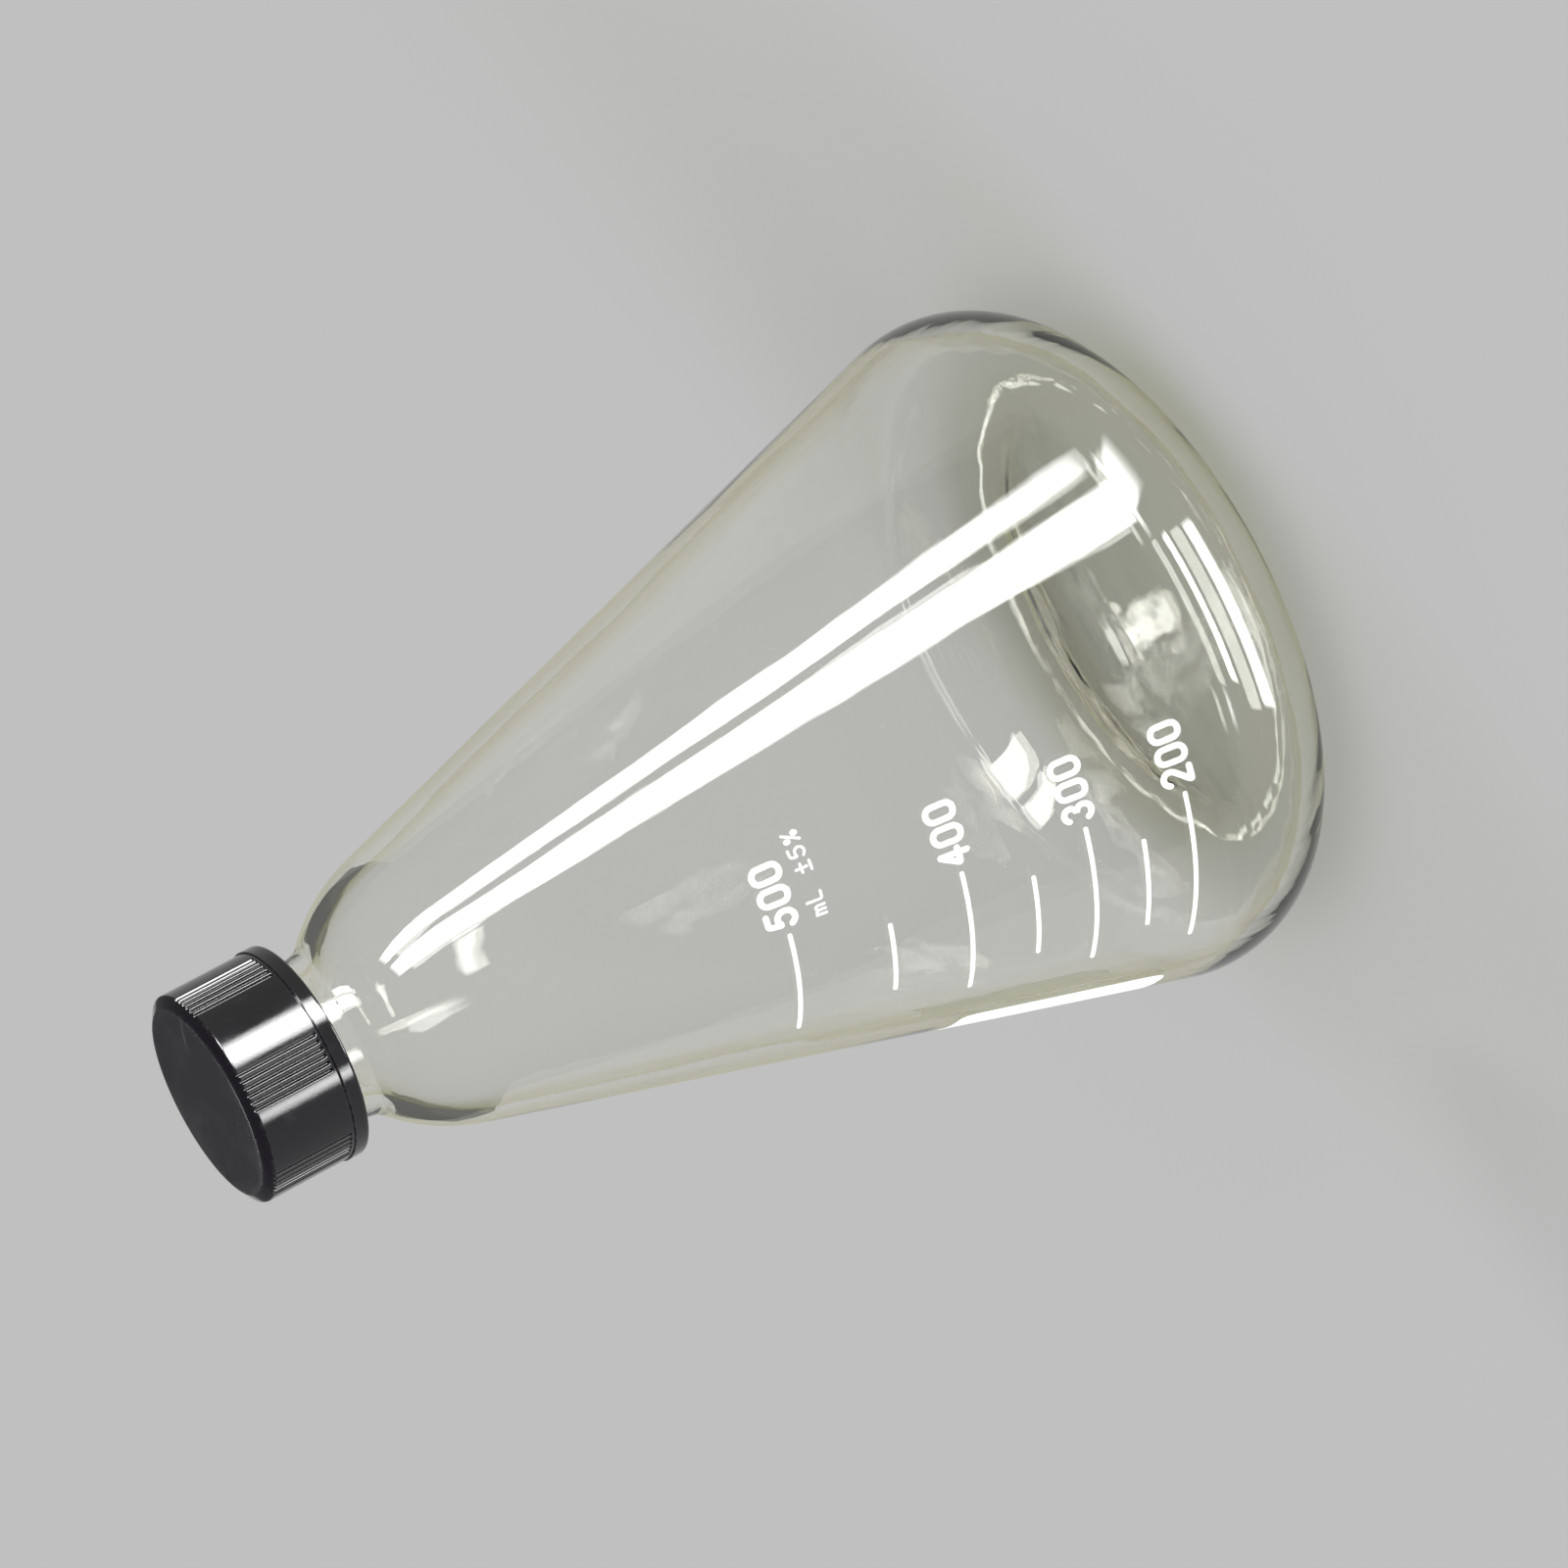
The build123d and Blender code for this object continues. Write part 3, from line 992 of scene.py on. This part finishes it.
def fired_white():
    """White enamel fired onto the glass: half glossy, a little uneven and grainy."""
    made, tree, shader = new_material("fired_white")
    shader.inputs["IOR"].default_value = ENAMEL_IOR
    marks = put_handling(tree, 500.0, 4500.0)
    thin = multiply(tree, marks["Smudges"], 0.5)
    colour = colour_between(tree, thin, (0.95, 0.95, 0.94, 1.0), (0.84, 0.85, 0.84, 1.0))
    link(tree, colour, shader.inputs["Base Color"])
    link(tree, sum_of(tree, multiply(tree, marks["Grain"], 0.25), 0.25), shader.inputs["Roughness"])
    bumped(tree, shader, marks["Grain"], 0.02 * MM)
    return made


def pale_rubber():
    """Off-white sealing rubber: matt, faintly mottled, with a fine grain."""
    made, tree, shader = new_material("pale_rubber")
    marks = put_handling(tree, 160.0, 3000.0)
    clean, stained = (0.60, 0.55, 0.46, 1.0), (0.50, 0.46, 0.39, 1.0)
    colour = colour_between(tree, marks["Smudges"], clean, stained)
    link(tree, colour, shader.inputs["Base Color"])
    link(tree, sum_of(tree, multiply(tree, marks["Grain"], 0.2), 0.55), shader.inputs["Roughness"])
    bumped(tree, shader, marks["Grain"], 0.04 * MM)
    return made


def give(piece, material):
    """The material as the piece's only one."""
    piece.data.materials.clear()
    piece.data.materials.append(material)


# =============================================================== the pieces
flask_glass = make_flask()
give(flask_glass, clear_glass())
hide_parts("flask")
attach(flask_glass, "flask")

cap_shell = make_cap()
give(cap_shell, moulded_black())
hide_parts("screw_cap")
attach(cap_shell, "cap")

white = fired_white()
for piece in (make_marks(), make_numerals(), make_patch()):
    give(piece, white)
    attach(piece, "flask")

give(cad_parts["cap_liner"], pale_rubber())


# ==================================================================== stage
def make_floor():
    """A wide plain table top that the flask stands on, a hair under it."""
    turn = np.linspace(0, 2 * pi, FLOOR_COLUMNS, endpoint=False)[None, :]
    radius = np.array(FLOOR_RADII)[:, None]
    rings = turned(radius + 0 * turn, FLOOR_Z + 0 * radius + 0 * turn, turn + 0 * radius)
    points = np.concatenate([rings.reshape(-1, 3), [(0, 0, FLOOR_Z)]])
    column = np.arange(FLOOR_COLUMNS)
    middle = np.full(FLOOR_COLUMNS, len(points) - 1)
    fan = np.stack([middle, column, (column + 1) % FLOOR_COLUMNS], -1)
    floor = put_mesh("floor", points, grid_quads(len(radius), FLOOR_COLUMNS)[:, ::-1], fan)
    made, _, shader = new_material("pale_table")
    shader.inputs["Base Color"].default_value = (0.33, 0.33, 0.33, 1.0)
    shader.inputs["Roughness"].default_value = 0.9
    shader.inputs["Specular IOR Level"].default_value = 0.0
    give(floor, made)


def direction(turn, rise):
    """Unit vector at a turn from -Y towards +X and a rise above the horizon."""
    turn, rise = radians(turn), radians(rise)
    return Vector((sin(turn) * cos(rise), -cos(turn) * cos(rise), sin(rise)))


def soft_sun(name, turn, rise, width, strength):
    """A far-off round lamp, width degrees across, that lights the whole floor evenly.

    The glass and the cap don't mirror it.
    """
    light = bpy.data.lights.new(name, "SUN")
    light.angle = radians(width)
    light.energy = strength
    lamp = bpy.data.objects.new(name, light)
    lamp.rotation_mode = "QUATERNION"
    lamp.rotation_quaternion = (-direction(turn, rise)).to_track_quat("-Z", "Y")
    lamp.visible_glossy = False
    lamp.visible_transmission = False
    bpy.context.scene.collection.objects.link(lamp)


def light_panel(name, turn, width, ends, fades, side_fade, glow, spacing):
    """A panel of light that is only seen mirrored, never directly or through glass.

    It runs between its two ends, each a (distance, height), and spans width
    degrees round the flask.  fades are the lengths over which the ends fade out,
    and side_fade is the share of the width over which each side does.  Rows of
    its mesh lie spacing apart.  It adds its light to what lies behind it, casts
    no shadow, and lights nothing that light has already reached from a matt
    surface, so the floor and the print stay as the soft lamps leave them.
    """
    path = rounded(ends, spacing=spacing, corner=0.0)
    sides = np.linspace(-0.5, 0.5, 25)[None, :]
    across = np.radians(turn + width * sides)
    points = turned(path[:, :1] + 0 * across, path[:, 1:] + 0 * across, across + 0 * path[:, :1])
    rows, columns = points.shape[:2]
    corner = np.arange(rows - 1)[:, None] * columns + np.arange(columns - 1)[None, :]
    quads = np.stack([corner, corner + 1, corner + columns + 1, corner + columns], -1)
    panel = put_mesh(name, points.reshape(-1, 3), quads.reshape(-1, 4))
    run = np.concatenate([[0], np.cumsum(np.hypot(*np.diff(path, axis=0).T))])[:, None]
    fade = np.clip(np.minimum(run / fades[0], (run[-1] - run) / fades[1]), 0, 1)
    fade = fade * np.clip((0.5 - np.abs(sides)) / side_fade, 0, 1)
    shade = panel.data.attributes.new("fade", "FLOAT", "POINT")
    shade.data.foreach_set("value", fade.ravel().astype(np.float32))
    made, tree, shader = new_material(name)
    tree.nodes.remove(shader)
    lamp = add(tree, "Emission")
    reader = add(tree, "Attribute", attribute_name="fade")
    ray = add(tree, "LightPath")
    unscattered = add(tree, "Math", operation="LESS_THAN")
    unscattered.inputs[1].default_value = 0.5
    link(tree, ray.outputs["Diffuse Depth"], unscattered.inputs[0])
    mirrored = add(tree, "Math", operation="GREATER_THAN")
    mirrored.inputs[1].default_value = 0.5
    link(tree, ray.outputs["Glossy Depth"], mirrored.inputs[0])
    seen = multiply(tree, unscattered.outputs["Value"], mirrored.outputs["Value"])
    bright = multiply(tree, multiply(tree, reader.outputs["Fac"], glow), seen)
    link(tree, bright, lamp.inputs["Strength"])
    both = add(tree, "AddShader")
    link(tree, lamp.outputs["Emission"], both.inputs[0])
    link(tree, add(tree, "BsdfTransparent").outputs["BSDF"], both.inputs[1])
    link(tree, both.outputs["Shader"], tree.nodes["Material Output"].inputs["Surface"])
    made.cycles.emission_sampling = "NONE"
    give(panel, made)
    panel.visible_camera = False
    panel.visible_diffuse = False
    panel.visible_shadow = False


def make_room():
    """A dim pale room that the flask and the cap mirror, brighter where the camera sees it."""
    room = bpy.data.worlds.new("room")
    room.use_nodes = True
    tree = room.node_tree
    back = tree.nodes["Background"]
    back.inputs["Color"].default_value = (0.72, 0.73, 0.74, 1)
    seen = add(tree, "MapRange")
    seen.inputs["To Min"].default_value = 0.17
    seen.inputs["To Max"].default_value = 0.6
    link(tree, add(tree, "LightPath").outputs["Is Camera Ray"], seen.inputs["Value"])
    link(tree, seen.outputs["Result"], back.inputs["Strength"])
    bpy.context.scene.world = room
    bpy.context.scene.view_settings.view_transform = "Standard"


def make_camera():
    """The camera looks down at the standing flask, rolled so that it lies on its side."""
    lens = bpy.data.cameras.new("camera")
    lens.lens = CAMERA_LENS
    lens.sensor_width = SENSOR_WIDTH
    lens.clip_start = 0.05
    lens.clip_end = 60
    camera = bpy.data.objects.new("camera", lens)
    towards = direction(CAMERA_TURN, CAMERA_RISE)
    aside = direction(CAMERA_TURN + 90, 0)
    aim = aside * CAMERA_AIM[0] + Vector((0, 0, CAMERA_AIM[1]))
    camera.location = aim + towards * CAMERA_DISTANCE
    camera.rotation_mode = "QUATERNION"
    level = (-towards).to_track_quat("-Z", "Y")
    camera.rotation_quaternion = level @ Quaternion((0, 0, 1), radians(-CAMERA_ROLL))
    bpy.context.scene.collection.objects.link(camera)
    bpy.context.scene.camera = camera


make_floor()
for name, values in PANELS.items():
    light_panel(name, *values)
for name, values in LAMPS.items():
    soft_sun(name, *values)
make_room()
make_camera()
